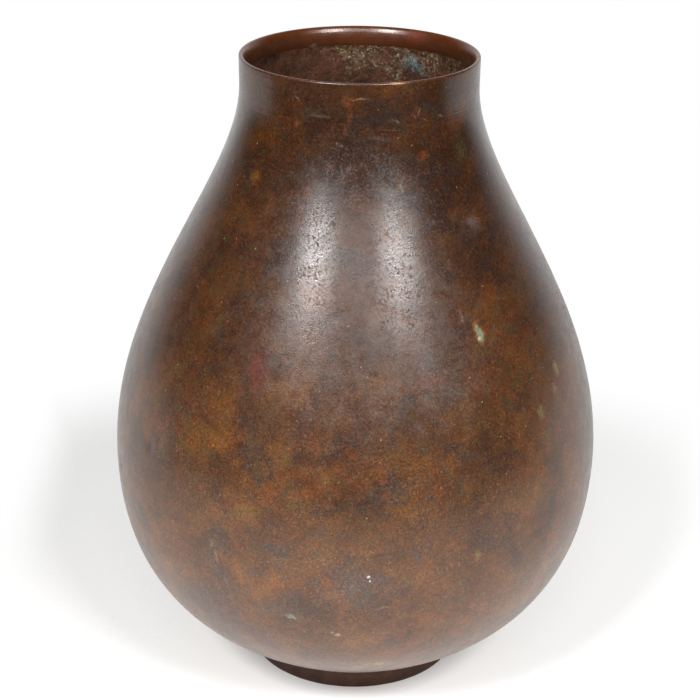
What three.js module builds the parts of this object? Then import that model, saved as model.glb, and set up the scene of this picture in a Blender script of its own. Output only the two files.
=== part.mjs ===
// Cast bronze flower vase: a straight neck over a full belly, on a small turned foot.
// Units are millimetres, +Z is up, and the origin is the middle of the face that the foot rests on.
//
// The body is one hollow casting, open at the bottom where its core came out.
// A turned foot ring with a spigot closes most of that opening, and a disc set in the ring closes the rest.
// Two fillets of soft solder make both joints watertight.
import * as THREE from 'three';

// Driving dimensions of the outer form
const vaseHeight = 250;
const mouthRadius = 44.9;
const neckLength = 11.2;          // straight stretch below the rim
const bellyRadius = 95.8;
const bellyHeight = 92.1;         // widest level above the floor
const footHeight = 7.5;           // from the floor to the seat of the body
const seatRadius = 42.4;          // outer edge of the body's seat
const seatAngle = 35.3;           // degrees between the body's underside and the floor, at the seat

// How far each curve holds its direction at its ends: the longer the pull, the fuller the form there
const neckPull = 36.2;
const shoulderPull = 61.6;
const bellyPull = 60.4;
const tuckPull = 18.8;

// Walls of the casting
const neckWall = 2.4;
const bellyWall = 2.8;
const seatWall = 4.2;

// Lip, turned smooth and thicker than the neck on its inside
const rimRound = 0.7;             // small outer edge
const lipSwell = 0.6;             // how far the lip stands in from the neck's inner wall
const lipDrop = 6.8;              // from the rim down to the lip's thickest level
const lipReturn = 1.2;            // from there down to where the lip meets the cast wall

// Foot ring
const footOverhang = 0.4;         // how far the body's seat stands out over the ring
const footFlare = 0.45;           // how much wider the ring is at the floor than at the seat
const footEdgeRound = 0.5;
const footLandWidth = 3.6;        // flat that touches the floor
const recessDepth = 4.0;          // hollow under the base
const recessFillet = 2.4;
const seatWidth = 6.4;            // flat ring on which body and foot meet
const spigotWall = 3.5;
const spigotRise = 2.6;           // how far the spigot stands above the body's inner floor
const spigotChamfer = 0.4;
const ledgeWidth = 4.2;           // inner step that carries the base plate
const ledgeThickness = 2.5;

// Base plate and solder
const plateThickness = 2.5;
const solderLeg = 2.2;            // width and height of each fillet
const solderGap = 0.2;            // film between a fillet and the upright wall beside it
const fitClearance = 0.3;         // radial clearance of the spigot and of the plate

// Fineness: steps round the axis, and steps along each curve of an outline
const turns = 64;
const upperSteps = 16;
const lowerSteps = 12;
const innerUpperSteps = 12;
const innerLowerSteps = 9;
const lipSteps = 6;
const edgeSteps = 3;
const samePoint = 1e-6;           // two outline points nearer than this are one

// Levels and radii that follow from the sizes above
const quarter = Math.PI / 2;
const seatSlope = THREE.MathUtils.degToRad(seatAngle);
const neckBottom = vaseHeight - neckLength;
const openingRadius = seatRadius - seatWidth;
const spigotRadius = openingRadius - fitClearance;
const pocketRadius = spigotRadius - spigotWall;
const ledgeTop = recessDepth + ledgeThickness;
const plateTop = ledgeTop + plateThickness;

// Outer form, from the seat up to the neck, as radius and height
const seatEdge = new THREE.Vector2(seatRadius, footHeight);
const bellyEdge = new THREE.Vector2(bellyRadius, bellyHeight);
const neckEdge = new THREE.Vector2(mouthRadius, neckBottom);
const lowerCurve = new THREE.CubicBezierCurve(
  seatEdge,
  new THREE.Vector2(
    seatRadius + tuckPull * Math.cos(seatSlope),
    footHeight + tuckPull * Math.sin(seatSlope)
  ),
  new THREE.Vector2(bellyRadius, bellyHeight - bellyPull),
  bellyEdge
);
const upperCurve = new THREE.CubicBezierCurve(
  bellyEdge,
  new THREE.Vector2(bellyRadius, bellyHeight + shoulderPull),
  new THREE.Vector2(mouthRadius, neckBottom - neckPull),
  neckEdge
);

// Cast inner faces, which end low down at the flat floor round the bottom opening
const lowerInside = innerFace(lowerCurve, innerLowerSteps, seatWall, bellyWall);
const upperInside = innerFace(upperCurve, innerUpperSteps, bellyWall, neckWall);
const innerFloor = lowerInside[0].y;

// Points along a curve, both ends included
function along(curve, steps) {
  return curve.getPoints(steps);
}

// Points along an arc of an ellipse, from one angle to another
function arc(centre, halfWidth, halfHeight, from, to, steps) {
  const clockwise = to < from;
  const curve = new THREE.EllipseCurve(centre.x, centre.y, halfWidth, halfHeight, from, to, clockwise);
  return along(curve, steps);
}

// Inner face of a wall: each point of the outer curve moved inwards, square to it, by a wall that changes
// evenly from one end of the curve to the other
function innerFace(curve, steps, wallAtStart, wallAtEnd) {
  const points = [];
  for (let step = 0; step <= steps; step += 1) {
    const t = step / steps;
    const wall = THREE.MathUtils.lerp(wallAtStart, wallAtEnd, t);
    const tangent = curve.getTangent(t);
    const inwards = new THREE.Vector2(-tangent.y, tangent.x);
    points.push(curve.getPoint(t).addScaledVector(inwards, wall));
  }
  return points;
}

// A solid of revolution about Z. Its outline runs up the outer side and down the inner side, where it closes
// on itself, or it starts and ends on the axis. Of two points in the same place it keeps the first.
function turned(name, outline, material) {
  const profile = outline.filter((point, i) => {
    return i === 0 || point.distanceTo(outline[i - 1]) > samePoint;
  });
  if (profile[0].x > 0) {
    profile.push(profile[0].clone());
  }
  const geometry = new THREE.LatheGeometry(profile, turns);
  geometry.rotateX(quarter);
  const mesh = new THREE.Mesh(geometry, material);
  mesh.name = name;
  return mesh;
}

function at(radius, height) {
  return new THREE.Vector2(radius, height);
}

function finish(color, roughness, metalness) {
  return new THREE.MeshStandardMaterial({ color, roughness, metalness });
}

const patinatedBronze = finish('#6a4632', 0.42, 0.85);
const darkFootBronze = finish('#3d2a22', 0.55, 0.85);
const basePlateBronze = finish('#4a3528', 0.6, 0.85);
const softSolder = finish('#77726a', 0.6, 0.9);

// The casting: seat, belly, neck, lip, cast inner wall and the flat inner floor round the bottom opening
function vaseBody() {
  const neckBore = mouthRadius - neckWall;
  const lipBore = neckBore - lipSwell;
  const crown = mouthRadius - rimRound;
  const lipLevel = vaseHeight - lipDrop;
  const outside = [
    ...along(lowerCurve, lowerSteps),
    ...along(upperCurve, upperSteps)
  ];
  const lip = [
    ...arc(at(crown, vaseHeight - rimRound), rimRound, rimRound, 0, quarter, edgeSteps),
    ...arc(at(crown, lipLevel), crown - lipBore, lipDrop, quarter, 2 * quarter, lipSteps),
    ...arc(at(neckBore, lipLevel), lipSwell, lipReturn, 2 * quarter, 3 * quarter, lipSteps)
  ];
  const inside = [
    ...upperInside.toReversed(),
    ...lowerInside.toReversed()
  ];
  const opening = [at(openingRadius, innerFloor), at(openingRadius, footHeight)];
  return turned('vase_body', [...outside, ...lip, ...inside, ...opening], patinatedBronze);
}

// The foot: a turned ring. Its flat top carries the body, its spigot centres the body, and its ledge holds
// the base plate.
function footRing() {
  const topRadius = seatRadius - footOverhang;
  const floorRadius = topRadius + footFlare;
  const landRadius = floorRadius - footEdgeRound - footLandWidth;
  const spigotTop = innerFloor + spigotRise;
  const edgeCentre = at(floorRadius - footEdgeRound, footEdgeRound);
  const recessCentre = at(landRadius - recessFillet, recessDepth - recessFillet);
  const outer = [
    at(landRadius, 0),
    ...arc(edgeCentre, footEdgeRound, footEdgeRound, -quarter, 0, edgeSteps),
    at(topRadius, footHeight)
  ];
  const spigot = [
    at(spigotRadius, footHeight),
    at(spigotRadius, spigotTop - spigotChamfer),
    at(spigotRadius - spigotChamfer, spigotTop),
    at(pocketRadius, spigotTop)
  ];
  const ledge = [
    at(pocketRadius, ledgeTop),
    at(pocketRadius - ledgeWidth, ledgeTop),
    at(pocketRadius - ledgeWidth, recessDepth)
  ];
  const recess = arc(recessCentre, recessFillet, recessFillet, quarter, 0, edgeSteps);
  return turned('foot_ring', [...outer, ...spigot, ...ledge, ...recess], darkFootBronze);
}

// The disc that closes the bottom, laid on the ring's ledge from above
function basePlate() {
  const radius = pocketRadius - fitClearance;
  return turned('base_plate', [
    at(0, ledgeTop),
    at(radius, ledgeTop),
    at(radius, plateTop),
    at(0, plateTop)
  ], basePlateBronze);
}

// A fillet of solder in the corner between a flat floor and the upright wall outside or inside it
function solderFillet(name, wallRadius, floorLevel, side) {
  const foot = wallRadius + side * solderGap;
  const toe = foot + side * solderLeg;
  const corner = [at(foot, floorLevel), at(toe, floorLevel), at(foot, floorLevel + solderLeg)];
  return turned(name, side > 0 ? corner : corner.reverse(), softSolder);
}

const vase = new THREE.Group();
vase.name = 'bronze_vase';
vase.add(
  vaseBody(),
  footRing(),
  basePlate(),
  solderFillet('foot_solder', spigotRadius + fitClearance, innerFloor, 1),
  solderFillet('plate_solder', pocketRadius, plateTop, -1)
);

export default vase;
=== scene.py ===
# %% [markdown]
# # A cast bronze flower vase
# The real object is one bronze casting with a brown patina, standing on a turned foot ring, with a base
# plate soldered into the ring. It has no handles and nothing on it moves.
# This lesson loads the measured solids as a fixed frame, turns a finer surface over each of them, gives
# every piece the finish of the real metal, and lights the vase as in a small photo studio.

# %% Load the measured model
import math
from types import SimpleNamespace

import bmesh
import bpy
import numpy as np
from mathutils import Matrix, Vector, noise


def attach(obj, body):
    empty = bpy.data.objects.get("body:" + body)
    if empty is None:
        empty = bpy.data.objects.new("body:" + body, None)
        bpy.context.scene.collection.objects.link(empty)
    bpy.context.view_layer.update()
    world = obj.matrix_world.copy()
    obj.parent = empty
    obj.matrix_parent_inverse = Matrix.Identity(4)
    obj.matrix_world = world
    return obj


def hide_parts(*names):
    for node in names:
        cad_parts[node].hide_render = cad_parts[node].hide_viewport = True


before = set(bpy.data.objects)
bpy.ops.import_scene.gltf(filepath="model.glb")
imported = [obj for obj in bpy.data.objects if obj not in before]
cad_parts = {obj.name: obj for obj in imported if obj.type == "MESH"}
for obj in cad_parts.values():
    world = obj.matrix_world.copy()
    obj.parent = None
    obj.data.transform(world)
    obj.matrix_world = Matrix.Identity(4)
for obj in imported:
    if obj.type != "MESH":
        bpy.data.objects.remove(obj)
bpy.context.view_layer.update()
print("solids:", ", ".join(sorted(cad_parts)))

# %% [markdown]
# ## One language for sizes
# Blender works in metres here, while a foundry drawing is in millimetres. Every size of the vase is written
# in millimetres and multiplied by MM once, where a mesh is made. The studio round it is in metres.
# The outline of the vase is two smooth curves that meet at the widest level. A cubic curve with two pulls
# describes each one, because that is how the form was drawn: a short stiff tuck over the foot, a full
# belly, and an ogee that straightens into the neck.

# %% Curves of the outline
MM = 0.001


def curve(points, shares):
    """Places on a cubic curve, and the direction there, at each share of its way."""
    p = np.array(points, float)
    t = np.asarray(shares, float)[:, None]
    s = 1 - t
    place = s**3 * p[0] + 3 * s * s * t * p[1] + 3 * s * t * t * p[2] + t**3 * p[3]
    way = s * s * (p[1] - p[0]) + 2 * s * t * (p[2] - p[1]) + t * t * (p[3] - p[2])
    return place, way / np.linalg.norm(way, axis=1)[:, None]


def arc(centre, half_width, half_height, start, end, steps):
    """Places on part of an ellipse, angles in quarter turns."""
    a = np.linspace(start, end, steps + 1) * math.pi / 2
    return np.stack([centre[0] + half_width * np.cos(a), centre[1] + half_height * np.sin(a)], 1)


SEAT, SEAT_SLOPE = (42.4, 7.5), math.radians(35.3)
BELLY, NECK, HEIGHT = (95.8, 92.1), (44.9, 238.8), 250.0
TUCK_PULL, BELLY_PULL, SHOULDER_PULL, NECK_PULL = 18.8, 60.4, 61.6, 36.2
tuck = (SEAT[0] + TUCK_PULL * math.cos(SEAT_SLOPE), SEAT[1] + TUCK_PULL * math.sin(SEAT_SLOPE))
lower_curve = (SEAT, tuck, (BELLY[0], BELLY[1] - BELLY_PULL), BELLY)
upper_curve = (BELLY, (BELLY[0], BELLY[1] + SHOULDER_PULL), (NECK[0], NECK[1] - NECK_PULL), NECK)

# %% [markdown]
# ## Outline of the casting
# The outside was chased and scraped smooth. The lip was turned, so it is smooth too, and it is thicker
# than the neck on its inside. Below the lip the inside is still as it came from the mould, and a thin
# crust fills the corner under the lip, so the two meet in a soft slope.
# The rows lie close together where the camera looks into the mouth, because the crust there is modelled.

# %% Outline of the outside, from the seat up and round the lip
neck_wall, belly_wall, seat_wall = 2.4, 2.8, 4.2
lip_swell, lip_drop, lip_return, rim_round = 0.6, 6.8, 1.2, 0.7
bore, crown = NECK[0] - neck_wall, NECK[0] - rim_round
lip_bore, lip_level = bore - lip_swell, HEIGHT - lip_drop
under_rows = 6

outer_low, _ = curve(lower_curve, np.linspace(0, 1, 61))
outer_high, _ = curve(upper_curve, np.linspace(0, 1, 85))
neck_line = np.stack([np.full(5, NECK[0]), np.linspace(NECK[1], HEIGHT - rim_round, 6)[1:]], 1)
outer_rows = np.concatenate([outer_low, outer_high[1:], neck_line])

lip_edge = arc((crown, HEIGHT - rim_round), rim_round, rim_round, 0, 1, 6)[1:]
lip_face = arc((crown, lip_level), crown - lip_bore, lip_drop, 1, 2, 14)[1:]
drop = np.linspace(0, 1, under_rows + 1)[1:, None]
lip_under = (lip_bore, lip_level) + drop * (0.8 * lip_swell, -2.2 * lip_return)
outside = np.concatenate([outer_rows, lip_edge, lip_face, lip_under])


# %% Outline of the inside, from the lip down to the opening in the bottom
def moved_in(places, ways, walls):
    """Places on a curve, each moved square to it by the wall there."""
    return places + np.stack([-ways[:, 1], ways[:, 0]], 1) * walls[:, None]


high = np.linspace(0, 1, 70) ** 1.35
low = np.linspace(0, 1, 27)
opening_radius = 36.0
inner_high = moved_in(*curve(upper_curve, 1 - high), neck_wall + (belly_wall - neck_wall) * high)
inner_low = moved_in(*curve(lower_curve, 1 - low), np.linspace(belly_wall, seat_wall, len(low)))[1:]
inner_floor = inner_low[-1, 1]
opening = np.array([[opening_radius, inner_floor], [opening_radius, SEAT[1]]])
inside = np.concatenate([inner_high, inner_low, opening])
body_outline = np.concatenate([outside, inside])
print("rows of the casting:", len(outside), "outside,", len(inside), "inside")

# %% [markdown]
# ## Turning a surface
# Each piece is a body of revolution, so one helper turns an outline round the axis. It could be a Screw or
# a Spin modifier, but plain rows and columns let the next steps reach each place by its angle and height.
# Angle 0 faces the camera and grows to the right. A `relief` gives each place a depth, towards the axis.
# A UV map unrolls each piece, round the axis and along its outline.

# %% A helper that turns an outline into a mesh
def turn(name, outline, columns, relief=None, closed=True):
    """A smooth mesh of an outline in mm, turned round the axis; a closed outline meets itself."""
    rows = len(outline)
    angle = np.arange(columns) * 2 * math.pi / columns
    radius = np.repeat(outline[:, :1], columns, 1)
    height = np.repeat(outline[:, 1:], columns, 1)
    if relief is not None:
        radius = radius - relief(np.repeat(angle[None], rows, 0), radius, height)
    places = np.stack([radius * np.sin(angle), -radius * np.cos(angle), height], 2)
    row = np.arange(rows if closed else rows - 1)
    a = (row[:, None] * columns + np.arange(columns)).ravel()
    b = (row[:, None] * columns + (np.arange(columns) + 1) % columns).ravel()
    up = columns * rows
    faces = np.stack([a, b, (b + columns) % up, (a + columns) % up], 1)
    mesh = bpy.data.meshes.new(name)
    mesh.from_pydata((places.reshape(-1, 3) * MM).tolist(), [], faces.tolist())
    length = np.linalg.norm(np.diff(np.vstack([outline, outline[:1]]), axis=0), axis=1)
    along = np.concatenate([[0], np.cumsum(length)]) / length.sum()
    r = np.repeat(row, columns)
    c = np.tile(np.arange(columns), len(row))
    u = np.stack([c, c + 1, c + 1, c], 1) / columns
    v = np.stack([along[r], along[r], along[r + 1], along[r + 1]], 1)
    mesh.uv_layers.new(name="turned").data.foreach_set("uv", np.stack([u, v], 2).ravel())
    mesh.shade_smooth()
    piece = bpy.data.objects.new(name, mesh)
    bpy.context.scene.collection.objects.link(piece)
    print(name, "has", len(mesh.polygons), "faces")
    return piece


def finish_piece(piece, node, sharp=38):
    """Marks the hard edges, hides the measured solid that the piece stands for, and hangs it on the root
    body.
    """
    piece.data.set_sharp_from_angle(angle=math.radians(sharp))
    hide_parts(node)
    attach(piece, "root")


# %% [markdown]
# ## Relief of the casting
# Hand scraping leaves the outside very slightly uneven: a tenth of a millimetre over a few centimetres,
# which is what makes the edges of the highlights waver. Two old knocks at the left, one of them double, have
# left shallow dents. The inside has the grain of the sand core and, near the mouth, a thin crust of dried
# minerals.

# %% Relief functions
def drift(angle, radius, height, size, seed, detail=2):
    """Smooth chance between -1 and 1, about as wide as `size` in mm, at each place."""
    x, y = radius * np.sin(angle), -radius * np.cos(angle)
    flat = np.stack([x, y, height], 2).reshape(-1, 3) / size + seed
    values = [noise.fractal(Vector(p), 1.0, 2.0, detail) for p in flat]
    return np.clip(np.array(values).reshape(angle.shape), -1, 1)


def turn_from(degrees, angle):
    """How far each angle lies to the right of a direction, between minus and plus half a turn."""
    return (angle - math.radians(degrees) + math.pi) % (2 * math.pi) - math.pi


def near(angle, radius, height, degrees, level, half_along, half_up):
    """1 at a place on the surface, falling smoothly to 0 at the half sizes given in mm."""
    across = turn_from(degrees, angle) * radius / half_along
    share = np.clip(1 - np.hypot(across, (height - level) / half_up), 0, 1)
    return share**2 * (3 - 2 * share)


knocks = [  # degrees, level, half along, half up, depth
    (-54.8, 113.0, 4.0, 3.2, 0.55), (-72.0, 92.5, 3.4, 3.0, 0.5), (-51.0, 116.5, 2.6, 2.4, 0.3)]
grain_top, crust_bottom = 242.4, 205  # the levels where the sand grain begins and the crust ends


def casting_relief(angle, radius, height):
    """Depth in mm of scraping and knocks outside, and of sand grain and crust inside."""
    depth = np.zeros_like(radius)
    n = len(outside)
    a, r, h = angle[:n], radius[:n], height[:n]
    calm = np.clip((HEIGHT - 1.5 - h) / 12, 0, 1) * np.clip((h - SEAT[1]) / 6, 0, 1)  # none at both ends
    depth[:n] = calm * (0.09 + 0.07 * drift(a, r, h, 38, 3.7) + 0.025 * drift(a, r, h, 11, 9.1))
    for degrees, level, half_along, half_up, deep in knocks:
        depth[:n] += deep * near(a, r, h, degrees, level, half_along, half_up)
    cast = slice(n, -len(opening))
    a, r, h = angle[cast], radius[cast], height[cast]
    start = np.clip((grain_top - h) / 2.5, 0, 1)
    sand = 0.10 * drift(a, r, h, 3.0, 17.3, 3) + 0.12 * drift(a, r, h, 9, 23.9)
    crust = np.clip(drift(a, r, h, 7, 31.3, 3) * 1.6, 0, 1) * np.clip((h - crust_bottom) / 25, 0, 1)
    depth[cast] = start * (sand + 0.28 * crust)
    return depth


# %% The casting
body_columns = 352
vase = turn("cast_body", body_outline, body_columns, casting_relief)

# %% [markdown]
# ## Foot ring, base plate and solder
# The foot was turned on a lathe. Its wall leans out a little towards the floor, and its floor edge is worn
# round. The body's seat stands out over it by 0.4 mm, which makes the dark line where the two meet.
# The base plate is a disc cut from sheet. It lies on the ring's ledge, and soft solder seals it in the
# ring and the ring in the body. Solder was run in by hand, so its beads waver, within the space that the
# measured solids keep for them.

# %% The foot ring
ring_top, ring_floor, pocket, spigot = 42.0, 42.45, 32.2, 35.7
land, edge_round = 38.35, 0.5
recess, recess_fillet = 4.0, 2.4
ledge, ledge_bore, plate_top = 6.5, 28.0, 9.0
clearance, chamfer = 0.3, 0.4
spigot_top = inner_floor + 2.6
seat = SEAT[1]
ring_outline = np.concatenate([  # the rows at 39, 34 and 30 mm only divide the wide flats
    np.stack([np.linspace(land, ring_floor - edge_round, 8), np.zeros(8)], 1),
    arc((ring_floor - edge_round, edge_round), edge_round, edge_round, -1, 0, 6)[1:],
    np.stack([np.linspace(ring_floor, ring_top, 12), np.linspace(edge_round, seat, 12)], 1)[1:],
    np.array([[39.0, seat], [spigot, seat], [spigot, plate_top], [spigot, spigot_top - chamfer]]),
    np.array([[spigot - 0.15, spigot_top - 0.1], [spigot - chamfer, spigot_top], [34.0, spigot_top]]),
    np.array([[pocket, spigot_top], [pocket, plate_top], [pocket, ledge]]),
    np.array([[30.0, ledge], [ledge_bore, ledge], [ledge_bore, recess]]),
    arc((land - recess_fillet, recess - recess_fillet), recess_fillet, recess_fillet, 1, 0, 8),
])


def ring_relief(angle, radius, height):
    """Wear in mm of the outer edge at the floor."""
    wear = np.clip((1.2 - height) / 1.2, 0, 1) * (radius > 41)
    return wear * (0.12 + 0.10 * drift(angle, radius, height, 9, 5.1))


ring = turn("turned_foot_ring", ring_outline, 256, ring_relief)

# %% The base plate
plate_radius = pocket - clearance
across = np.linspace(0, plate_radius - 0.3, 26)
plate_outline = np.concatenate([
    np.stack([across, np.full(len(across), ledge)], 1),
    np.array([[plate_radius - 0.05, ledge + 0.06], [plate_radius, ledge + 0.2]]),
    np.array([[plate_radius, plate_top - 0.2], [plate_radius - 0.2, plate_top]]),
    np.stack([across[::-1], np.full(len(across), plate_top)], 1),
])
plate = turn("sheet_base_plate", plate_outline, 192, closed=False)
hub = bmesh.new()
hub.from_mesh(plate.data)
bmesh.ops.remove_doubles(hub, verts=hub.verts, dist=0.01 * MM)
hub.to_mesh(plate.data)
hub.free()


# %% The two beads of solder
def bead(name, wall_radius, level, side):
    """A hollow fillet in the corner between a floor and a wall; side 1 lies outside the wall."""
    leg, film, hollow = 2.2, 0.2, 0.97
    start = wall_radius + side * film
    sweep = np.linspace(0, 1, 9) * math.pi / 2
    face = np.stack([start + side * leg * (1 - hollow * np.sin(sweep)),
                     level + leg * (1 - hollow * np.cos(sweep))], 1)
    floor_line = np.stack([np.linspace(start, face[0, 0], 5)[:-1], np.full(4, level)], 1)
    outline = np.concatenate([floor_line, face])
    if side < 0:
        outline = outline[::-1]

    def wobble(angle, radius, height):
        """Depth in mm by which the bead falls short, none at the wall and most at its toe."""
        off = np.abs(radius - start) / leg
        return side * off * (0.18 + 0.16 * drift(angle, radius, height, 6, level))

    return turn(name, outline, 256, wobble)


ring_bead = bead("solder_round_ring", spigot + clearance, inner_floor, 1)
plate_bead = bead("solder_round_plate", pocket, plate_top, -1)

# %% Hard edges, and what each piece stands for
finish_piece(vase, "vase_body")
finish_piece(ring, "foot_ring", 25)
finish_piece(plate, "base_plate")
finish_piece(ring_bead, "foot_solder")
finish_piece(plate_bead, "plate_solder")

# %% [markdown]
# ## Painting by angle and height
# The colour of a bronze patina drifts in patches: where the pickle pooled it is dark and purple, where
# iron stayed in it, it is orange. A patch belongs to a place on this vase, so each is a soft brush stroke
# given by its angle, height and half sizes in mm. The strokes are stored on the mesh, with ragged edges,
# and the material breaks them up further. The alternative, a painted picture, would need an image file.
# The places where the casting is grey with wax, and where it is pitted, are painted in the same way.
# In and under the shoulder highlights the grey strokes are painted sheen as well as wax bloom.

# %% A helper that paints strokes on the mesh
def paint(piece, name, strokes, ragged=5.0):
    """Stores the strokes on the mesh as one number per place, with edges that stray by `ragged` mm."""
    co = np.zeros(len(piece.data.vertices) * 3)
    piece.data.vertices.foreach_get("co", co)
    co = co.reshape(-1, 3) / MM
    radius, angle = np.hypot(co[:, 0], co[:, 1]), np.arctan2(co[:, 0], -co[:, 1])
    stray = np.array([noise.fractal(Vector(p) / 9, 1.0, 2.0, 3) for p in co])
    other = np.array([noise.fractal(Vector(p) / 9 + Vector((7, 3, 5)), 1.0, 2.0, 3) for p in co])
    total = np.zeros(len(co))
    for degrees, level, half_along, half_up, strength in strokes:
        across = (turn_from(degrees, angle) * radius + ragged * stray) / half_along
        along = (co[:, 2] - level + ragged * other) / half_up
        total += strength * np.exp(-(across**2 + along**2))
    piece.data.attributes.new(name, "FLOAT", "POINT").data.foreach_set("value", np.clip(total, -1, 1))
    print(name, "painted with", len(strokes), "strokes, mean", round(float(total.mean()), 3))


# %% Patches of the outside
orange_patches = [  # degrees, level, half along, half up, strength
    (-34, 127, 14, 7, 0.9), (-2, 121, 22, 12, 0.4), (-28, 103, 16, 8, 0.6), (14, 122, 16, 8, 0.2),
    (-54, 83, 8, 22, 0.7), (-4, 245, 6, 14, 0.2), (50, 150, 26, 30, 0.35), (-52, 140, 22, 26, 0.3),
    (21, 216, 6, 8, 0.4), (-17, 118, 10, 7, 0.5), (120, 130, 40, 30, 0.5), (175, 105, 50, 26, 0.6),
    (-125, 140, 36, 30, 0.5), (150, 190, 30, 22, 0.35), (-160, 215, 20, 18, 0.3), (-54, 195, 18, 30, 0.5),
    (52, 110, 18, 26, 0.5), (20, 50, 24, 18, 0.5),
]
purple_patches = [
    (-26, 128, 8, 6, 0.6), (-20, 120, 7, 6, 0.6), (-3, 128, 8, 6, 0.7), (8, 115, 12, 7, 0.8),
    (-2, 110, 7, 4, 0.5), (-40, 131, 9, 4, 0.5), (-26, 153, 5, 4, 0.5), (24, 126, 10, 8, 0.4),
    (-60, 118, 8, 12, 0.4), (0, 210, 60, 22, 0.35), (28, 224, 20, 15, 0.35), (12, 241, 12, 6, 0.6),
    (-40, 50, 18, 20, 0.6), (2, 228, 10, 8, 0.5), (1, 79, 13, 10, 0.8), (-14, 68, 8, 6, 0.6),
    (-31, 76, 7, 16, 0.7), (-17, 91, 5, 3, 0.8), (100, 100, 30, 20, 0.5), (-100, 110, 26, 22, 0.5),
    (160, 150, 30, 20, 0.6), (-150, 90, 34, 18, 0.5), (70, 190, 20, 20, 0.3),
]
# grey strokes: grey bloom of the wax, and painted sheen in and under the shoulder highlights
grey_patches = [
    (0, 165, 60, 26, 0.5), (6, 140, 22, 9, 0.5), (24, 149, 12, 10, 0.5), (45, 198, 6, 5, 0.6),
    (-19, 237, 5, 3, 0.3), (28, 238, 6, 3, 0.4), (-33, 80, 5, 14, 0.6), (1, 76, 11, 8, 0.7),
    (-15, 63, 7, 6, 0.6), (0, 60, 90, 22, 0.35), (-130, 60, 60, 20, 0.4), (140, 70, 60, 24, 0.4),
    (180, 200, 40, 20, 0.4),
]
pitted_fields = [
    (-10, 190, 22, 34, 1.0), (14, 182, 20, 34, 0.9), (0, 120, 50, 40, 0.25), (95, 150, 30, 30, 0.7),
    (-120, 170, 26, 30, 0.7), (170, 190, 30, 26, 0.8), (-160, 80, 50, 30, 0.4),
]
strokes = {
    "orange": orange_patches, "purple": purple_patches, "grey": grey_patches, "pitting": pitted_fields}
for name, places in strokes.items():
    paint(vase, name, places)

# %% [markdown]
# ## One function for nodes, one for colours
# Colours are written as sRGB hex values, as a colour card gives them, and turned into the linear values
# that Blender mixes. `add` makes a shader node, sets what is given by name, and links or sets its inputs.
# A Mix node has its colours at inputs 6 and 7 and at output 2, which COLOURS says once for all of them.

# %% Node and colour helpers
def rgb(code):
    """Linear colour of an sRGB hex value."""
    parts = [int(code[i:i + 2], 16) / 255 for i in (1, 3, 5)]
    return tuple(c / 12.92 if c <= 0.04045 else ((c + 0.055) / 1.055) ** 2.4 for c in parts) + (1.0,)


def add(tree, kind, inputs=None, out=0, stops=None, **settings):
    """A shader node with its inputs, by index or name, and its settings; gives back the wanted output."""
    made = tree.nodes.new("ShaderNode" + kind)
    for name, value in settings.items():
        setattr(made, name, value)
    if stops:
        ramp = made.color_ramp.elements
        ramp[0].position, ramp[1].position = stops[0][0], stops[-1][0]
        for place, _ in stops[1:-1]:
            ramp.new(place)
        for stop, (_, colour) in zip(ramp, stops):
            stop.color = rgb(colour) if isinstance(colour, str) else (colour,) * 3 + (1.0,)
    for socket, value in (inputs or {}).items():
        if isinstance(value, bpy.types.NodeSocket):
            tree.links.new(value, made.inputs[socket])
        else:
            made.inputs[socket].default_value = rgb(value) if isinstance(value, str) else value
    return made.outputs[out] if made.outputs else made


COLOURS = {"out": 2, "data_type": "RGBA"}


def new_material(name):
    """An empty material, with the place on the object in millimetres."""
    material = bpy.data.materials.new(name)
    material.use_nodes = True
    tree = material.node_tree
    tree.nodes.clear()
    here = add(tree, "TexCoord", out="Object")
    return material, tree, add(tree, "VectorMath", {0: here, "Scale": 1 / MM}, operation="SCALE")


def use(piece, material):
    piece.data.materials.append(material)


# %% [markdown]
# ## Marks at their places
# Some marks can be pointed at: a chip of verdigris on the right shoulder, fine scratches under the rim,
# crumbs of lime. Each is an oval on the surface, given by angle, height, half sizes and lean, so it stays
# where it is from every side. A ragged edge comes from stirring the coordinates first.
# Two wide dark ovals at the left and right of the lip are painted shade.

# %% A helper that masks an oval mark
MARK_DEPTH = 30.0  # how far a mark reaches square to the surface, so that the far side doesn't get it


def oval(tree, stirred, degrees, level, half_along, half_up, lean, soft):
    """1 inside an oval on the surface, 0 outside; the mask depends on the place alone."""
    radius = float(np.interp(level, outer_rows[:, 1], outer_rows[:, 0]))
    a = math.radians(degrees)
    local = add(tree, "Mapping", {
        "Vector": stirred, "Location": (radius * math.sin(a), -radius * math.cos(a), level),
        "Rotation": (0.0, math.radians(lean), a), "Scale": (half_along, MARK_DEPTH, half_up)},
        vector_type="TEXTURE")
    away = add(tree, "VectorMath", {0: local}, out="Value", operation="LENGTH")
    return add(tree, "MapRange", {0: away, 1: 1.0 - soft, 2: 1.0 + soft, 3: 1.0, 4: 0.0},
               interpolation_type="SMOOTHSTEP")
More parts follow.
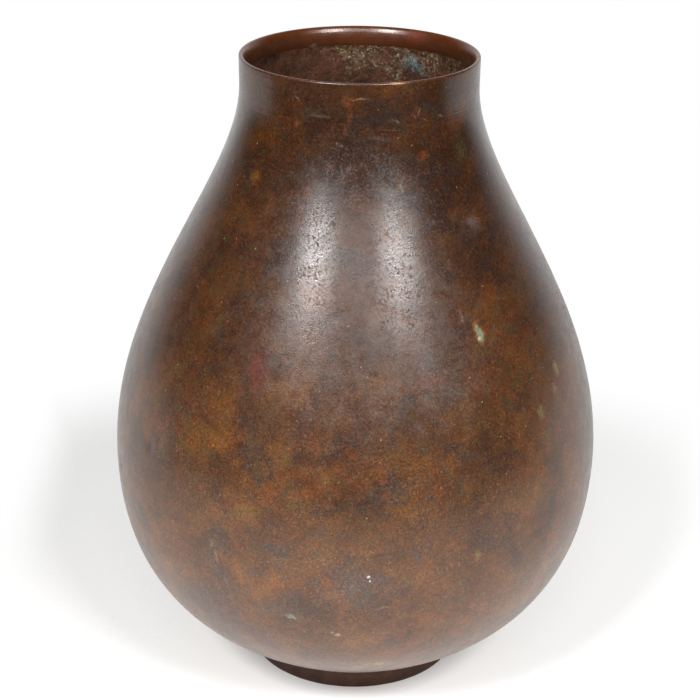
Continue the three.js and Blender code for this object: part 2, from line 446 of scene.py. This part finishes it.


# %% [markdown]
# ## The patina
# The metal is cast bronze, but the eye hardly meets it: a brown layer of copper oxides covers it, and a
# rubbed wax covers that. The oxide gives the colour and is nearly opaque, so the surface is only a little
# metallic. Oxide and wax together mirror more than a plastic would, so the specular level is raised. A coat
# over a rough base was tried instead, but its edges mirrored the white sheet too brightly.
# The colour is mixed at the sizes seen on the real surface: clouds of 24 mm, mottling of 16 mm, blotches of
# 5 mm, grains of 0.9 mm and pits a little smaller. One noise gives three unrelated values in its colour, one
# for each tint. The pits lie in fields, because the casting was porous in places, and they show in the
# highlights, where their rough floors mirror hardly anything.
# Hands polish the shoulder, so it is glossier than the belly. The neck shows the fine lines of its turning,
# and they spread what it mirrors.
# The lip was turned and is rubbed by hands, so it keeps no pits and hardly any mottling. It has the same
# layers as the outside, with less of each: `mottled` and `pitted` say how much.

# %% Tints, marks and painted shade of the outside
tints_16 = [  # channel, tint, what pushes it, from, to, most
    ("Red", "#91602e", "orange", 0.50, 0.64, 0.5),
    ("Green", "#783f2a", "orange", 0.54, 0.68, 0.3),
    ("Blue", "#48342f", "purple", 0.48, 0.64, 0.55),
]
tints_5 = [
    ("Red", "#4a474a", "purple", 0.57, 0.67, 0.42),
    ("Green", "#6b5c38", "orange", 0.56, 0.68, 0.35),
    ("Blue", "#98562a", "orange", 0.56, 0.68, 0.34),
]
tone_by_height = [(0.0, "#fff2ec"), (0.2, "#ffffff"), (0.32, "#eeeae6"), (0.42, "#cfcdc8"),
                  (0.52, "#c1bcba"), (0.64, "#a7a2a5"), (0.8, "#999295"), (0.9, "#928880"),
                  (0.97, "#978b80"), (1.0, "#a8998b")]
marks = [  # degrees, level, half along, half up, lean, soft, tint, strength
    # the shoulder and the belly
    (35.3, 164.0, 2.1, 3.9, -14, 0.25, "#8c4a20", 0.85), (35.3, 163.7, 1.4, 3.1, -14, 0.25, "#6f8a72", 0.9),
    (35.0, 161.8, 0.6, 0.7, 0, 0.4, "#aab096", 0.7), (31.0, 170.0, 0.6, 2.2, -6, 0.6, "#8d6d62", 0.4),
    (-25.2, 153.0, 3.4, 5.0, -14, 0.95, "#913638", 0.27), (41.5, 174.0, 3.0, 5.0, 20, 0.8, "#7d3f14", 0.25),
    (18.0, 151.6, 3.0, 2.4, 0, 0.9, "#7d4a42", 0.35), (18.5, 159.1, 4.0, 5.0, 0, 0.95, "#5f6266", 0.25),
    (60.5, 141.9, 1.7, 2.4, 0, 0.6, "#8d8050", 0.55), (49.5, 131.0, 1.7, 2.3, 0, 0.6, "#8a7b48", 0.5),
    (57.0, 136.0, 1.2, 1.8, 0, 0.7, "#7d7260", 0.4), (69.5, 81.3, 0.8, 2.0, 0, 0.4, "#2b1c18", 0.7),
    (-54.8, 113.0, 1.3, 1.8, 20, 0.5, "#2b1c18", 0.7), (-72.0, 92.5, 1.0, 1.2, 0, 0.5, "#2b1c18", 0.7),
    (-32.5, 126.9, 6.5, 4.2, 22, 0.5, "#8a5820", 0.45), (-34.5, 130.8, 6.0, 1.3, 22, 0.6, "#35231c", 0.5),
    (-24.5, 103.8, 4.2, 3.0, 0, 0.8, "#86682f", 0.4), (-7.5, 99.8, 3.0, 1.7, -25, 0.8, "#3e3a3c", 0.5),
    (-33.0, 87.0, 0.8, 1.6, 0, 0.8, "#94897f", 0.4), (-31.8, 82.0, 0.6, 2.4, -8, 0.7, "#a09488", 0.4),
    (-30.6, 76.5, 1.0, 3.0, -10, 0.8, "#3a2c2e", 0.5), (-30.0, 72.5, 0.5, 1.6, -10, 0.7, "#8f847c", 0.4),
    (5.6, 91.6, 1.8, 0.5, -6, 0.4, "#33251f", 0.7), (51.5, 86.3, 5.0, 2.6, -20, 0.9, "#4a3a38", 0.4),
    (37.5, 86.3, 5.0, 3.0, 0, 0.9, "#4f3c38", 0.35), (28.0, 85.5, 1.0, 2.0, 0, 0.7, "#8a8040", 0.4),
    (3.4, 82.6, 0.6, 0.6, 0, 0.5, "#e0d8cc", 0.9), (3.5, 80.6, 0.35, 0.45, 0, 0.5, "#e0d8cc", 0.9),
    (24.5, 75.3, 0.7, 1.2, 0, 0.7, "#7f8a60", 0.35), (6.5, 67.9, 2.6, 0.5, -6, 0.6, "#9a7d58", 0.5),
    (-14.5, 61.7, 1.7, 1.0, 0, 0.6, "#98ad9c", 0.5), (-13.6, 61.2, 0.7, 0.5, 0, 0.5, "#b8ae84", 0.6),
    (-3.5, 54.3, 1.0, 0.6, 0, 0.5, "#cdbd9c", 0.6), (-4.6, 55.4, 0.7, 0.5, 0, 0.5, "#b9bfa6", 0.5),
    (15.0, 49.2, 2.2, 1.0, 0, 0.9, "#8e3d34", 0.35), (46.0, 47.6, 2.0, 0.6, -20, 0.6, "#4a3a36", 0.5),
    (7.6, 33.2, 1.6, 1.5, 0, 0.5, "#b3a43c", 0.8), (4.6, 33.4, 2.2, 0.8, 0, 0.6, "#94a05c", 0.5),
    # the neck
    (0.3, 244.4, 3.0, 0.25, -8, 0.5, "#97806e", 0.6), (-29.0, 243.4, 1.4, 0.25, 30, 0.5, "#8a7668", 0.5),
    (-19.0, 237.5, 3.6, 0.4, -4, 0.8, "#756a62", 0.3), (-14.0, 237.6, 1.6, 0.25, 0, 0.7, "#756a62", 0.3),
    (28.0, 238.8, 0.2, 1.5, 30, 0.7, "#938880", 0.5), (30.5, 235.8, 1.2, 0.2, 24, 0.7, "#938880", 0.4),
    (26.0, 237.2, 0.2, 0.9, -20, 0.7, "#938880", 0.4), (40.5, 235.7, 1.1, 0.25, 24, 0.6, "#8d8078", 0.35),
    (17.0, 236.2, 1.4, 0.22, 24, 0.6, "#8d8078", 0.35), (18.5, 235.2, 0.9, 0.3, 30, 0.5, "#857a70", 0.35),
    (9.5, 230.3, 3.2, 0.6, 10, 0.8, "#6b625c", 0.3), (13.0, 233.0, 2.6, 0.2, 4, 0.6, "#7d6d62", 0.3),
    (-8.0, 227.8, 1.2, 0.3, 0, 0.5, "#8d8078", 0.3), (-29.0, 233.9, 0.9, 1.1, 0, 0.9, "#84462a", 0.5),
    (-5.0, 243.4, 1.5, 1.8, 0, 0.9, "#84462a", 0.45), (-4.0, 238.2, 0.9, 2.2, 0, 0.9, "#84462a", 0.4),
    (-5.6, 233.4, 0.8, 1.3, 0, 0.9, "#84462a", 0.35), (29.0, 223.5, 1.6, 1.2, 0, 0.9, "#84462a", 0.5),
    (51.0, 222.6, 3.0, 3.0, 0, 0.9, "#4c5038", 0.4), (17.5, 214.0, 0.5, 1.9, -6, 0.6, "#6f7c5c", 0.55),
    (-46.5, 212.5, 2.2, 2.0, 0, 0.8, "#8a5a20", 0.45), (45.5, 198.8, 2.4, 1.4, 10, 0.8, "#746a66", 0.4),
    # the lip; the two wide dark ovals at its left and right are painted shade
    (17.0, 249.8, 2.6, 0.5, 0, 0.5, "#b4845a", 0.6), (149, 247.4, 4.0, 1.8, 0, 0.9, "#8a4038", 0.5),
    (-154, 243.2, 1.4, 0.8, 10, 0.6, "#8d8a78", 0.4), (-126, 243.6, 26, 3.8, 0, 0.9, "#2c150c", 0.8),
    (124, 243.2, 24, 3.8, 0, 0.9, "#2c150c", 0.8),
]


# %% Noises that the layers of the patina share
def patina_fields(tree, mm, pitted):
    """The painted strokes and the noises, each a value or a colour that depends on the place alone."""
    f = SimpleNamespace(mm=mm)
    f.push = {name: add(tree, "Attribute", out="Fac", attribute_name=name) for name in strokes}
    f.height = add(tree, "SeparateXYZ", {0: mm}, out="Z")
    f.mottle_16 = add(tree, "TexNoise", {
        "Vector": mm, "Scale": 1 / 16, "Detail": 6.0, "Roughness": 0.6, "Distortion": 0.3}, out="Color")
    f.blotch_5 = add(tree, "TexNoise", {
        "Vector": mm, "Scale": 1 / 5, "Detail": 4.0, "Roughness": 0.6, "Distortion": 0.2}, out="Color")
    f.fine = add(tree, "SeparateColor", {0: f.blotch_5}).node.outputs
    f.grains = add(tree, "TexNoise", {
        "Vector": mm, "Scale": 1 / 0.9, "Detail": 2.0, "Roughness": 0.9}, out="Color")
    f.grain = add(tree, "SeparateColor", {0: f.grains})
    stir = add(tree, "VectorMath", {0: f.blotch_5, 1: (2.4,) * 3, 2: (-1.2,) * 3}, operation="MULTIPLY_ADD")
    f.stirred = add(tree, "VectorMath", {0: mm, 1: stir}, operation="ADD")
    lines = add(tree, "VectorMath", {0: mm, 1: (0.02, 0.02, 1.6)}, operation="MULTIPLY")
    lines = add(tree, "TexNoise", {"Vector": lines, "Scale": 1.0, "Detail": 2.0})
    lines = add(tree, "MapRange", {0: lines, 1: 0.3, 2: 0.7, 3: -0.5, 4: 0.5})
    on_neck = add(tree, "MapRange", {0: f.height, 1: 218.0, 2: 238.0})
    f.lines = add(tree, "Math", {0: lines, 1: on_neck}, operation="MULTIPLY")
    pits = add(tree, "TexNoise", {"Vector": mm, "Scale": 1 / 0.8, "Detail": 2.0, "Roughness": 0.85})
    pits = add(tree, "Math", {0: f.fine["Blue"], 1: 0.35, 2: pits}, operation="MULTIPLY_ADD")
    pits = add(tree, "MapRange", {0: pits, 1: 0.73, 2: 0.79})
    where = add(tree, "Math", {0: f.push["pitting"], 1: pitted}, operation="MULTIPLY")
    f.pits = add(tree, "Math", {0: pits, 1: where}, operation="MULTIPLY")
    return f


# %% Tints of the oxide, from coarse to fine
def tinted(tree, f, ground, mottled):
    """The ground colour with its tints, specks, grey wax bloom and painted sheen, darker towards the neck.
    """
    colour = rgb(ground)
    for field, tints in ((f.mottle_16, tints_16), (f.blotch_5, tints_5)):
        channels = add(tree, "SeparateColor", {0: field}).node.outputs
        for channel, tint, push, start, end, most in tints:
            value = add(tree, "Math", {0: f.push[push], 1: 0.22, 2: channels[channel]},
                        operation="MULTIPLY_ADD")
            share = add(tree, "MapRange", {0: value, 1: start, 2: end, 3: 0.0, 4: most * mottled})
            colour = add(tree, "Mix", {0: share, 6: colour, 7: tint}, **COLOURS)
    speck = add(tree, "SeparateColor", {0: f.grains}, out="Green")
    speck = add(tree, "MapRange", {0: speck, 1: 0.57, 2: 0.7, 3: 0.0, 4: 0.5 * mottled})
    colour = add(tree, "Mix", {0: speck, 6: colour, 7: "#a6865f"}, **COLOURS)
    level = add(tree, "MapRange", {0: f.height, 1: 0.0, 2: HEIGHT})
    level = add(tree, "ValToRGB", {0: level}, stops=tone_by_height)
    colour = add(tree, "Mix", {0: 1.0, 6: colour, 7: level}, blend_type="MULTIPLY", **COLOURS)
    # grey bloom of the wax, and painted sheen in and under the shoulder highlights
    bloom = add(tree, "Math", {0: f.push["grey"], 1: f.fine["Green"]}, operation="MULTIPLY")
    bloom = add(tree, "MapRange", {0: bloom, 1: 0.1, 2: 0.6, 3: 0.0, 4: 0.3})
    return add(tree, "Mix", {0: bloom, 6: colour, 7: "#6d625c"}, **COLOURS)


def toned(tree, f, colour, mottled):
    """The colour made lighter and darker by clouds, grains and turning lines."""
    cloud = add(tree, "TexNoise", {"Vector": f.mm, "Scale": 1 / 24, "Detail": 3.0, "Roughness": 0.6})
    cloud = add(tree, "MapRange", {0: cloud, 1: 0.3, 2: 0.7, 3: 1 - 0.22 * mottled, 4: 1 + 0.22 * mottled})
    tone = add(tree, "MapRange", {0: f.grain, 1: 0.3, 2: 0.7, 3: 1 - 0.48 * mottled, 4: 1 + 0.4 * mottled})
    tone = add(tree, "Math", {0: tone, 1: cloud}, operation="MULTIPLY")
    tone = add(tree, "Math", {0: f.lines, 1: 0.16 * mottled, 2: tone}, operation="MULTIPLY_ADD")
    return add(tree, "VectorMath", {0: colour, "Scale": tone}, operation="SCALE")


# %% Crumbs of lime, pits, marks and painted shade
def crumbed(tree, f, colour, pitted):
    """The colour with crumbs of lime about half a millimetre across, most where it is orange."""
    shaken = add(tree, "VectorMath", {0: f.grains, 1: (0.9,) * 3, 2: f.mm}, operation="MULTIPLY_ADD")
    crumbs = add(tree, "TexVoronoi", {"Vector": shaken, "Scale": 1 / 2.4}).node.outputs
    picked = add(tree, "SeparateColor", {0: crumbs["Color"]})
    picked = add(tree, "Math", {0: f.push["orange"], 1: 0.2, 2: picked}, operation="MULTIPLY_ADD")
    picked = add(tree, "MapRange", {0: picked, 1: 0.86, 2: 1.0, 3: 0.0, 4: 0.75})
    crumb = add(tree, "MapRange", {0: crumbs["Distance"], 1: 0.08, 2: 0.14, 3: 1.0, 4: 0.0})
    crumb = add(tree, "Math", {0: crumb, 1: picked}, operation="MULTIPLY")
    crumb = add(tree, "Math", {0: crumb, 1: pitted}, operation="MULTIPLY")
    return add(tree, "Mix", {0: crumb, 6: colour, 7: "#a18f6c"}, **COLOURS)


def marked(tree, f, colour):
    """The colour darker in the pits, and with each mark, and the painted shade at the sides of the lip, at
    its place.
    """
    shade = add(tree, "MapRange", {0: f.pits, 3: 1.0, 4: 0.8})
    colour = add(tree, "VectorMath", {0: colour, "Scale": shade}, operation="SCALE")
    ragged = add(tree, "MapRange", {0: f.grain, 1: 0.38, 2: 0.56, 3: 0.2, 4: 1.0})
    for *shape, tint, strength in marks:
        share = oval(tree, f.stirred, *shape)
        share = add(tree, "Math", {0: share, 1: strength}, operation="MULTIPLY")
        share = add(tree, "Math", {0: share, 1: ragged}, operation="MULTIPLY")
        colour = add(tree, "Mix", {0: share, 6: colour, 7: tint}, **COLOURS)
    return colour


# %% Relief and gloss of the wax
def waxed_bump(tree, f, sparkle):
    """The fine relief of dust, soft blotches and the turning lines of the neck."""
    dust = add(tree, "TexNoise", {"Vector": f.mm, "Scale": 1 / 0.5, "Detail": 1.0, "Roughness": 0.6})
    relief = add(tree, "Math", {0: dust, 1: sparkle}, operation="MULTIPLY")
    relief = add(tree, "Math", {0: f.fine["Red"], 1: 0.9, 2: relief}, operation="MULTIPLY_ADD")
    relief = add(tree, "Math", {0: f.lines, 1: 0.45, 2: relief}, operation="MULTIPLY_ADD")
    return add(tree, "Bump", {"Height": relief, "Strength": 0.5, "Distance": 0.09 * MM})


def waxed_roughness(tree, f, gloss):
    """Roughness about `gloss`: less on the rubbed shoulder, more on the turned neck, most in the pits."""
    rough = add(tree, "MapRange", {0: f.fine["Green"], 1: 0.3, 2: 0.7, 3: gloss - 0.04, 4: gloss + 0.05})
    rubbed = add(tree, "MapRange", {0: f.height, 1: 150.0, 2: 225.0, 3: 0.012, 4: -0.07})
    rough = add(tree, "Math", {0: rough, 1: rubbed}, operation="ADD")
    ringed = add(tree, "MapRange", {0: f.height, 1: 226.0, 2: 238.0, 3: 0.0, 4: 0.05})
    rough = add(tree, "Math", {0: rough, 1: ringed}, operation="ADD")
    return add(tree, "Math", {0: f.pits, 1: 0.5, 2: rough}, operation="MULTIPLY_ADD", use_clamp=True)


# %% Waxed brown patina on cast bronze
def waxed_patina(name, ground, gloss, sparkle, mottled, pitted):
    """The layers put together; `sparkle`, `mottled` and `pitted` say how much there is of each."""
    material, tree, mm = new_material(name)
    f = patina_fields(tree, mm, pitted)
    colour = tinted(tree, f, ground, mottled)
    colour = toned(tree, f, colour, mottled)
    colour = crumbed(tree, f, colour, pitted)
    colour = marked(tree, f, colour)
    skin = add(tree, "BsdfPrincipled", {
        "Base Color": colour, "Metallic": 0.08, "Specular IOR Level": 0.7,
        "Roughness": waxed_roughness(tree, f, gloss), "Normal": waxed_bump(tree, f, sparkle)})
    add(tree, "OutputMaterial", {"Surface": skin})
    print(name, "has", len(tree.nodes), "nodes")
    return material


patina = waxed_patina("waxed_brown_patina_on_cast_bronze", "#6f482c", 0.29, 0.72, 1.0, 1.0)
rubbed_lip = waxed_patina("rubbed_lip_of_the_same_bronze", "#804721", 0.30, 0.15, 0.4, 0.0)

# %% [markdown]
# ## The raw inside
# The inside was never scraped. It keeps the dark grain of the casting, with lime and verdigris that water
# left: grey, cream, green and rust coloured grains, thickest below the lip. It is dry and matt.
# A knot of blue-grey crust sits at the back right, and pale and greenish grains lie beside it.

# %% Patches of the inside
pale_crust = [
    (-172, 240, 8, 5, 0.8), (172, 243, 12, 3, 0.3), (160, 240, 8, 3, 0.3), (140, 239, 9, 4, 0.7),
    (125, 241, 7, 3, 0.25), (30, 120, 60, 12, 0.4), (-90, 60, 50, 16, 0.5), (-142, 238, 16, 10, -0.9),
    (-118, 242, 12, 8, -0.6),
]
blue_crust = [(153, 237.5, 6, 4.0, 1.0), (146, 234, 5, 3, 0.7), (40, 200, 10, 8, 0.5)]
paint(vase, "pale_crust", pale_crust, 2.0)
paint(vase, "blue_crust", blue_crust, 2.0)

# %% As-cast inside with mineral stains
cast_inside, tree, mm = new_material("as_cast_bronze_with_water_stains")
mottle = add(tree, "TexNoise", {"Vector": mm, "Scale": 1 / 7, "Detail": 6.0, "Roughness": 0.7}, out="Color")
mottle = add(tree, "SeparateColor", {0: mottle}).node.outputs
sand = add(tree, "TexNoise", {"Vector": mm, "Scale": 1 / 1.1, "Detail": 3.0, "Roughness": 0.8}, out="Color")
sand_tone = add(tree, "SeparateColor", {0: sand})
cells = add(tree, "TexVoronoi", {"Vector": mm, "Scale": 1 / 0.8}, out="Color")
colour = add(tree, "ValToRGB", {0: mottle["Red"]}, stops=[
    (0.32, "#21130d"), (0.45, "#3d2418"), (0.56, "#522e1f"), (0.68, "#433424")])
minerals = add(tree, "ValToRGB", {0: add(tree, "SeparateColor", {0: cells})}, stops=[
    (0.0, "#2a1a13"), (0.3, "#573727"), (0.5, "#5f4c36"), (0.62, "#575a40"), (0.75, "#7d7258"),
    (0.86, "#6e3a2a"), (1.0, "#a3967a")])
pale = add(tree, "Attribute", out="Fac", attribute_name="pale_crust")
amount = add(tree, "Math", {0: pale, 1: 0.28, 2: mottle["Green"]}, operation="MULTIPLY_ADD")
amount = add(tree, "MapRange", {0: amount, 1: 0.46, 2: 0.74, 3: 0.06, 4: 0.85})
colour = add(tree, "Mix", {0: amount, 6: colour, 7: minerals}, **COLOURS)
blue = add(tree, "Attribute", out="Fac", attribute_name="blue_crust")
blue = add(tree, "Math", {0: blue, 1: sand_tone}, operation="MULTIPLY")
knot = add(tree, "MapRange", {0: blue, 1: 0.3, 2: 0.46, 3: 0.0, 4: 0.7})
colour = add(tree, "Mix", {0: knot, 6: colour, 7: "#3a4547"}, **COLOURS)
curl = add(tree, "TexNoise", {"Vector": mm, "Scale": 1 / 3.2, "Detail": 1.0, "Distortion": 0.8})
curl = add(tree, "Math", {0: curl, 1: 0.5, 2: 0.045}, operation="COMPARE")
near_knot = add(tree, "MapRange", {0: blue, 1: 0.2, 2: 0.4, 3: 0.0, 4: 0.45})
curl = add(tree, "Math", {0: curl, 1: near_knot}, operation="MULTIPLY")
colour = add(tree, "Mix", {0: curl, 6: colour, 7: "#788480"}, **COLOURS)
tone = add(tree, "MapRange", {0: sand_tone, 1: 0.3, 2: 0.7, 3: 0.5, 4: 1.3})
colour = add(tree, "VectorMath", {0: colour, "Scale": tone}, operation="SCALE")
relief = add(tree, "Math", {0: mottle["Green"], 1: 2.0, 2: sand_tone}, operation="MULTIPLY_ADD")
bump = add(tree, "Bump", {"Height": relief, "Strength": 0.8, "Distance": 0.35 * MM})
skin = add(tree, "BsdfPrincipled", {
    "Base Color": colour, "Metallic": 0.1, "Roughness": 0.68, "Specular IOR Level": 0.25, "Normal": bump})
add(tree, "OutputMaterial", {"Surface": skin})

# %% Which rows of the casting have which finish
use(vase, patina)
use(vase, cast_inside)
use(vase, rubbed_lip)
PATINA, CAST, LIP = 0, 1, 2
rows = np.repeat(np.arange(len(body_outline)), body_columns)
zone = np.full(len(rows), PATINA, np.int32)
zone[rows >= len(outer_rows) + len(lip_edge)] = LIP
zone[rows >= len(outside) - under_rows] = CAST
vase.data.polygons.foreach_set("material_index", zone)

# %% [markdown]
# ## Foot, plate and solder
# The foot's colour is darker than the body's, and its floor edge is worn down to the alloy. Lines left by
# the lathe run round it, closer than a millimetre. The base plate is dull rolled sheet. The solder is tin
# and lead, grey and matt, with paler patches.

# %% Materials of the smaller pieces
def small_metal(name, dark, light, worn, metallic, rough, grain_mm, worn_below, turned):
    """Bronze or solder from dark to light, worn below a level, with turning lines as deep as `turned`."""
    material, tree, mm = new_material(name)
    height = add(tree, "SeparateXYZ", {0: mm}, out="Z")
    broad = add(tree, "TexNoise", {"Vector": mm, "Scale": 1 / 8, "Detail": 5.0, "Roughness": 0.65})
    fine = add(tree, "TexNoise", {"Vector": mm, "Scale": 1 / grain_mm, "Detail": 3.0, "Roughness": 0.75})
    colour = add(tree, "ValToRGB", {0: broad}, stops=[(0.32, dark), (0.68, light)])
    shade = add(tree, "ValToRGB", {0: fine}, stops=[(0.3, 0.55), (0.6, 1.0)])
    colour = add(tree, "Mix", {0: 0.7, 6: colour, 7: shade}, blend_type="MULTIPLY", **COLOURS)
    edge = add(tree, "MapRange", {0: height, 1: worn_below, 2: 0.0})
    edge = add(tree, "Math", {0: edge, 1: broad}, operation="MULTIPLY")
    colour = add(tree, "Mix", {0: edge, 6: colour, 7: worn}, **COLOURS)
    gloss = add(tree, "MapRange", {0: fine, 1: 0.3, 2: 0.7, 3: rough - 0.08, 4: rough + 0.1})
    relief = add(tree, "Math", {0: broad, 1: 1.5, 2: fine}, operation="MULTIPLY_ADD")
    flat = add(tree, "VectorMath", {0: mm, 1: (1.0, 1.0, 0.0)}, operation="MULTIPLY")
    radius = add(tree, "VectorMath", {0: flat}, out="Value", operation="LENGTH")
    cuts = add(tree, "Math", {0: radius, 1: height}, operation="SUBTRACT")
    cuts = add(tree, "Math", {0: cuts, 1: 2.2}, operation="MULTIPLY")
    cuts = add(tree, "TexNoise", {"W": cuts, "Scale": 1.0, "Detail": 2.0, "Roughness": 0.7},
               noise_dimensions="1D")
    relief = add(tree, "Math", {0: cuts, 1: turned, 2: relief}, operation="MULTIPLY_ADD")
    bump = add(tree, "Bump", {"Height": relief, "Strength": 0.5, "Distance": 0.12 * MM})
    skin = add(tree, "BsdfPrincipled", {
        "Base Color": colour, "Metallic": metallic, "Roughness": gloss, "Normal": bump})
    add(tree, "OutputMaterial", {"Surface": skin})
    return material


dark_patina = small_metal(
    "darker_patina_of_the_foot", "#45291d", "#66402b", "#8a6242", 0.3, 0.46, 0.7, worn_below=0.8, turned=1.6)
dull_sheet = small_metal(
    "dull_rolled_bronze_sheet", "#3a2a20", "#5c4632", "#6d5a42", 0.35, 0.55, 0.9, worn_below=0.1, turned=0.9)
solder = small_metal(
    "tarnished_soft_solder", "#5f5c55", "#8c887e", "#8c887e", 0.5, 0.58, 0.8, worn_below=0.1, turned=0.0)
use(ring, dark_patina)
use(plate, dull_sheet)
use(ring_bead, solder)
use(plate_bead, solder)

# %% [markdown]
# ## Floor and background
# The vase stands on a white sheet. The floor is a matt white that glows a little for the camera and for
# reflections, so that it comes out white where the light is full, and the soft shadow stays grey. Its glow
# is
# painted light and shade: it is stronger at the right, which makes the shadow there paler than at the left,
# and it dips on the sheet in front of the vase, which the belly mirrors. Far from the vase it turns plain
# white, as an overexposed background does.
# It ends in front of the vase in a round edge, because the belly mirrors such an edge: below 110 mm the
# metal mirrors the sheet, and above that the dark room.

# %% The floor
front_edge, half_floor, floor_end = 0.474, 1.6, 3.0
front = arc((0.0, 0.0), front_edge, front_edge, 2, 4, 48).tolist()
corners = front + [(half_floor, 0.0), (half_floor, floor_end), (-half_floor, floor_end), (-half_floor, 0.0)]
sheet = bpy.data.meshes.new("white_sheet")
sheet.from_pydata([(x, y, 0.0) for x, y in corners], [], [tuple(range(len(corners)))])
floor = bpy.data.objects.new("white_sheet", sheet)
bpy.context.scene.collection.objects.link(floor)

# %% White paper that glows a little
paper, tree, mm = new_material("white_paper")

# only the camera and reflections see the glow
path = add(tree, "LightPath", out="Is Camera Ray").node.outputs
seen = add(tree, "Math", {0: path["Is Camera Ray"], 1: path["Is Glossy Ray"]}, operation="MAXIMUM")
seen = add(tree, "Math", {0: seen, 1: path["Is Transmission Ray"]}, operation="MAXIMUM")

# the paper itself
fibre = add(tree, "TexNoise", {"Vector": mm, "Scale": 1 / 2.0, "Detail": 2.0})
white = add(tree, "ValToRGB", {0: fibre}, stops=[(0.3, "#d8d8d6"), (0.7, "#dcdcdb")])
matt = add(tree, "BsdfDiffuse", {"Color": white})

# its glow, painted light and shade that change from the front edge to the back and from left to right
where = add(tree, "SeparateXYZ", {0: mm}).node.outputs
depth = add(tree, "MapRange", {0: where["Y"], 1: -front_edge / MM, 2: 26.0})
glow = add(tree, "ValToRGB", {0: depth}, stops=[
    (0.0, 0.3), (0.45, 0.16), (0.67, 0.05), (0.83, 0.38), (1.0, 0.38)])
rightwards = add(tree, "MapRange", {0: where["X"], 1: -150.0, 2: 150.0, 3: 0.68, 4: 1.08})
glow = add(tree, "Math", {0: glow, 1: rightwards}, operation="MULTIPLY")
glow = add(tree, "Math", {0: seen, 1: glow}, operation="MULTIPLY")
glow = add(tree, "Emission", {"Color": "#ffffff", "Strength": glow})
lit = add(tree, "AddShader", {0: matt, 1: glow})

# plain white far from the vase, and beyond both its sides
plain = add(tree, "Emission", {"Color": "#ffffff", "Strength": 1.0})
away = add(tree, "VectorMath", {0: mm}, out="Value", operation="LENGTH")
far = add(tree, "MapRange", {0: away, 1: 205.0, 2: 300.0}, interpolation_type="SMOOTHSTEP")
side = add(tree, "Math", {0: where["X"], 1: 8.0}, operation="SUBTRACT")
side = add(tree, "Math", {0: side}, operation="ABSOLUTE")
side = add(tree, "MapRange", {0: side, 1: 145.0, 2: 178.0}, interpolation_type="SMOOTHSTEP")
far = add(tree, "Math", {0: far, 1: side}, operation="MAXIMUM")
far = add(tree, "Math", {0: far, 1: seen}, operation="MULTIPLY")
add(tree, "OutputMaterial", {"Surface": add(tree, "MixShader", {0: far, 1: lit, 2: plain})})
use(floor, paper)

# %% The surroundings
# The camera sees plain white, reflections see a white sheet behind the vase, and the light is a faint room.
world = bpy.data.worlds.new("studio")
bpy.context.scene.world = world
world.use_nodes = True
tree = world.node_tree
tree.nodes.clear()
way = add(tree, "TexCoord", out="Generated")
back = add(tree, "SeparateXYZ", {0: way}, out="Y")
sheet_behind = add(tree, "MapRange", {0: back, 1: 0.4, 2: 0.85, 3: 0.0, 4: 1.0})
path = add(tree, "LightPath").node.outputs
seen = add(tree, "Math", {0: path["Is Glossy Ray"], 1: path["Is Transmission Ray"]}, operation="MAXIMUM")
mirrored = add(tree, "Math", {0: seen, 1: sheet_behind}, operation="MULTIPLY")
strength = add(tree, "Mix", {0: seen, 2: 0.15, 3: mirrored}, data_type="FLOAT")
strength = add(tree, "Math", {0: strength, 1: path["Is Camera Ray"]}, operation="MAXIMUM")
sky = add(tree, "Background", {"Color": "#ffffff", "Strength": strength})
add(tree, "OutputWorld", {"Surface": sky})

# %% [markdown]
# ## Lights
# Two soft boxes stand high in front of the vase, one each side. Their mirror images are the two broad
# highlights on the shoulder, and they fade out lower down, where the belly mirrors the dark room under the
# boxes. The wall between them is faintly bright, so the metal between the highlights isn't black.
# A box is given by the direction and height angle of its middle, seen from the vase.

# %% Two soft boxes and the wall between them
AIM = Vector((0, 0, 0.2))


def soft_box(name, degrees, rise, distance, width, tall, watts):
    """An area light that faces the vase; sizes and distance in metres."""
    lamp = bpy.data.lights.new(name, "AREA")
    lamp.shape, lamp.size, lamp.size_y, lamp.energy = "RECTANGLE", width, tall, watts
    holder = bpy.data.objects.new(name, lamp)
    a, e = math.radians(degrees), math.radians(rise)
    way = Vector((math.sin(a) * math.cos(e), -math.cos(a) * math.cos(e), math.sin(e)))
    holder.location = AIM + distance * way
    holder.rotation_euler = way.to_track_quat("Z", "Y").to_euler()
    bpy.context.scene.collection.objects.link(holder)
    print(name, "stands", round(distance, 2), "m away and gives", watts, "W")


soft_box("soft_box_left", -32.4, 40, 1.5, 0.40, 0.30, 21.5)
soft_box("soft_box_right", 31.6, 40, 1.5, 0.49, 0.30, 19.5)
soft_box("bright_wall_between", 0, 41, 1.5, 0.40, 0.30, 3.0)

# %% [markdown]
# ## Camera
# The camera looks down by 23 degrees with a long lens from 0.65 m, which is how the ellipse of the mouth
# and the arc of the foot were found to fit. It leans by half a degree, as the picture does.

# %% The camera
STAND = (0, -0.650, 0.40864)
SWING, LOOK_DOWN, LEAN = 0.217, 23.197, 0.604
lens = bpy.data.cameras.new("studio_camera")
lens.sensor_width, lens.lens = 36.0, 91.57
lens.clip_start, lens.clip_end = 0.05, 20.0
camera = bpy.data.objects.new("studio_camera", lens)
swing = Matrix.Rotation(math.radians(SWING), 4, "Z")
tilt = Matrix.Rotation(math.radians(90 - LOOK_DOWN), 4, "X")
lean = Matrix.Rotation(math.radians(LEAN), 4, "Z")
camera.matrix_world = Matrix.Translation(STAND) @ swing @ tilt @ lean
bpy.context.scene.collection.objects.link(camera)
bpy.context.scene.camera = camera
bpy.context.scene.view_settings.view_transform = "Standard"
